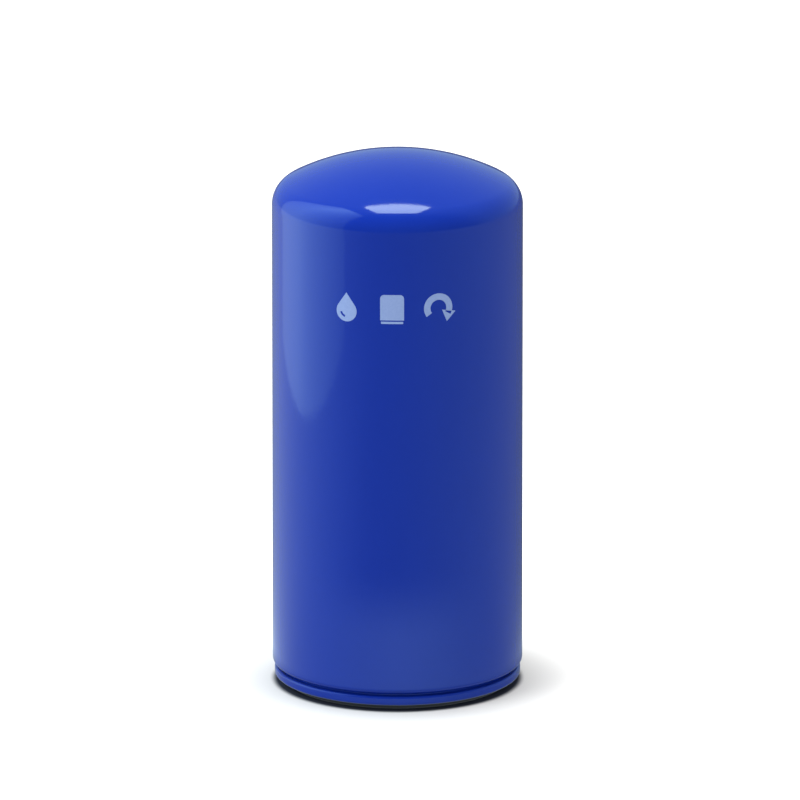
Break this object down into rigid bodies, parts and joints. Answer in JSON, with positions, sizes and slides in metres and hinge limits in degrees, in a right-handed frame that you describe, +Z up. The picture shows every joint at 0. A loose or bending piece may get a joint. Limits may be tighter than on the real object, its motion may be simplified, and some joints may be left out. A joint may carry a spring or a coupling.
{
  "type": "spin-on oil filter",
  "caption": "Heavy-duty spin-on oil filter: domed painted steel can, rolled seam, threaded base plate with gasket, pleated element, drainback diaphragm and bypass valve inside.",
  "frame": {"origin": "centre of the mounting gasket's sealing face, on the filter's axis, so the filter stands on z = 0 on its gasket", "axes": "+Z up the filter's axis from the gasket to the dome; +X and +Y are square to it, with one of the eight oil inlet holes on +X"},
  "size_m": [0.118, 0.118, 0.2555],
  "materials": {
    "blue_paint": "high-gloss blue enamel",
    "lid_paint": "blue enamel outside, overspray thinning to zinc-plated steel inside",
    "zinc_plate": "zinc-plated hot-rolled steel with a tapped thread",
    "nitrile": "black nitrile rubber, lightly oiled",
    "diaphragm_rubber": "black moulded rubber",
    "tinplate": "stamped tinplate",
    "media": "resin-impregnated pleated filter paper",
    "plastisol": "cured red-brown plastisol",
    "hot_melt": "cream hot-melt adhesive",
    "galvanised": "perforated galvanised steel strip",
    "turned_steel": "turned steel",
    "spring_steel": "drawn spring wire"
  },
  "bodies": {
    "housing": {"can_shell": "blue_paint", "seaming_lid": "lid_paint", "base_plate": "zinc_plate", "mounting_gasket": "nitrile", "element_spring": "spring_steel"},
    "element": {"lower_end_cap": "tinplate", "upper_end_cap": "tinplate", "lower_potting": "plastisol", "upper_potting": "plastisol", "pleated_media": "media", "media_seam_clip": "tinplate", "spacer_bead": "hot_melt", "centre_tube": "galvanised", "bypass_seat": "turned_steel", "bypass_cage": "tinplate", "bypass_spring": "spring_steel"},
    "bypass_valve": {"bypass_poppet": "turned_steel", "bypass_washer": "nitrile", "bypass_stem": "turned_steel"},
    "drainback_valve": {"drainback_diaphragm": "diaphragm_rubber"}
  },
  "joints": [
    {"name": "element_float", "type": "slide", "parent": "housing", "child": "element", "axis": [0, 0, 1], "range_m": [0, 0.003], "stiffness_N_per_m": 4000, "springref_m": -0.012, "deforming": ["element_spring"]},
    {"name": "bypass_lift", "type": "slide", "parent": "element", "child": "bypass_valve", "axis": [0, 0, -1], "range_m": [0, 0.004], "stiffness_N_per_m": 3500, "springref_m": -0.01, "deforming": ["bypass_spring"]},
    {"name": "drainback_lift", "type": "slide", "parent": "housing", "child": "drainback_valve", "axis": [0, 0, 1], "range_m": [0, 0.0025], "stiffness_N_per_m": 150, "springref_m": -0.003, "deforming": ["drainback_diaphragm"]}
  ]
}
